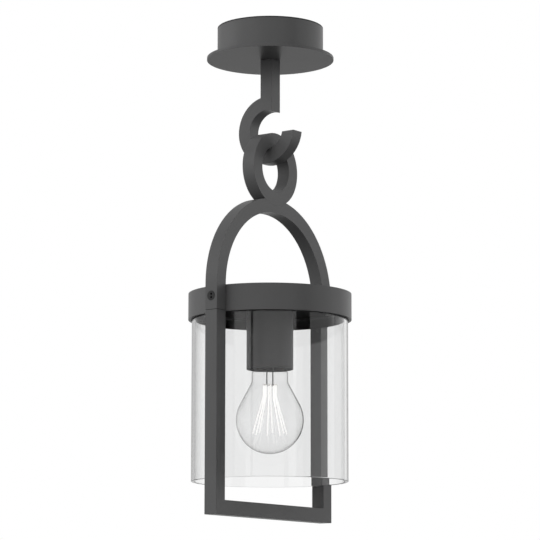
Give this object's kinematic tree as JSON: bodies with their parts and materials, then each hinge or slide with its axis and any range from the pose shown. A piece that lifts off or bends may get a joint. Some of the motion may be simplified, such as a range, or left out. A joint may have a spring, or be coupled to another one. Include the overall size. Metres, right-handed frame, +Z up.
{
  "type": "outdoor pendant light",
  "caption": "Hanging lantern with a round ceiling canopy, a square-bar hook and ring, an arched frame, a clear glass cylinder and a screw-in bulb.",
  "frame": {"origin": "on the lamp's axis at the ceiling, at the centre of the mounting strap's two slots", "axes": "+Z up; the arch and foot frame lie in the XZ plane; the hook lies in the YZ plane with its mouth towards -Y"},
  "size_m": [0.173, 0.1468, 0.447],
  "materials": {
    "anthracite_paint": "satin powder coat",
    "dark_paint": "matt",
    "zinc_steel": "zinc plated",
    "dark_screw": "satin",
    "rubber": "matt",
    "silicone": "satin",
    "black_plastic": "moulded",
    "white_plastic": "moulded",
    "brass": "plain",
    "clear_glass": "clear",
    "bulb_glass": "clear",
    "nickel": "plated",
    "lead_wire": "plain",
    "filament": "phosphor",
    "circuit_board": "solder mask"
  },
  "bodies": {
    "ceiling_mount": {"mounting_strap": "zinc_steel", "strap_nut": "zinc_steel", "ceiling_gasket": "rubber", "canopy_drum": "anthracite_paint", "canopy_plate": "anthracite_paint", "plate_grommet": "rubber", "terminal_block": "white_plastic", "terminal_screws": "brass", "terminal_fixings": "zinc_steel", "earth_stud": "brass", "earth_nut": "brass", "hook": "anthracite_paint", "hook_stud": "zinc_steel", "hook_washer": "zinc_steel", "hook_lock_nut": "zinc_steel"},
    "ring": {"hanging_ring": "anthracite_paint"},
    "lantern": {"arch": "anthracite_paint", "foot_frame": "anthracite_paint", "frame_screws": "dark_screw", "cap": "anthracite_paint", "cap_cover": "dark_paint", "cover_screws": "zinc_steel", "gland_body": "black_plastic", "gland_dome": "black_plastic", "gland_seal": "rubber", "gland_nut": "black_plastic", "glass_cylinder": "clear_glass", "glass_gasket": "silicone", "holder_cover": "anthracite_paint", "holder_nipple": "zinc_steel", "nipple_nut": "zinc_steel", "holder_body": "black_plastic", "threaded_shell": "brass", "centre_contact": "brass", "contact_rivet": "brass"},
    "bulb_contact": {"bulb_tip": "brass"},
    "bulb": {"bulb_cap": "nickel", "bulb_insulator": "black_plastic", "bulb_envelope": "bulb_glass", "bulb_mount": "bulb_glass", "bulb_leads": "lead_wire", "filament_carriers": "nickel", "bulb_filaments": "filament", "bulb_driver": "circuit_board"}
  },
  "joints": [
    {"name": "swing_across", "type": "hinge", "parent": "ceiling_mount", "child": "ring", "pos_m": [0, 0, -0.0955], "axis": [1, 0, 0], "range_deg": [-45, 45]},
    {"name": "swing_along", "type": "hinge", "parent": "ring", "child": "lantern", "pos_m": [0, 0, -0.1315], "axis": [0, 1, 0], "range_deg": [-45, 45]},
    {"name": "bulb_travel", "type": "slide", "parent": "lantern", "child": "bulb_contact", "axis": [0, 0, -1], "range_m": [0, 0.02177]},
    {"name": "bulb_turn", "type": "hinge", "parent": "bulb_contact", "child": "bulb", "pos_m": [0, 0, -0.284], "axis": [0, 0, -1], "range_deg": [0, 2160]}
  ],
  "couplings": [
    {"joint": "bulb_turn", "follows": "bulb_travel", "rad_per_m": 1731.4}
  ]
}
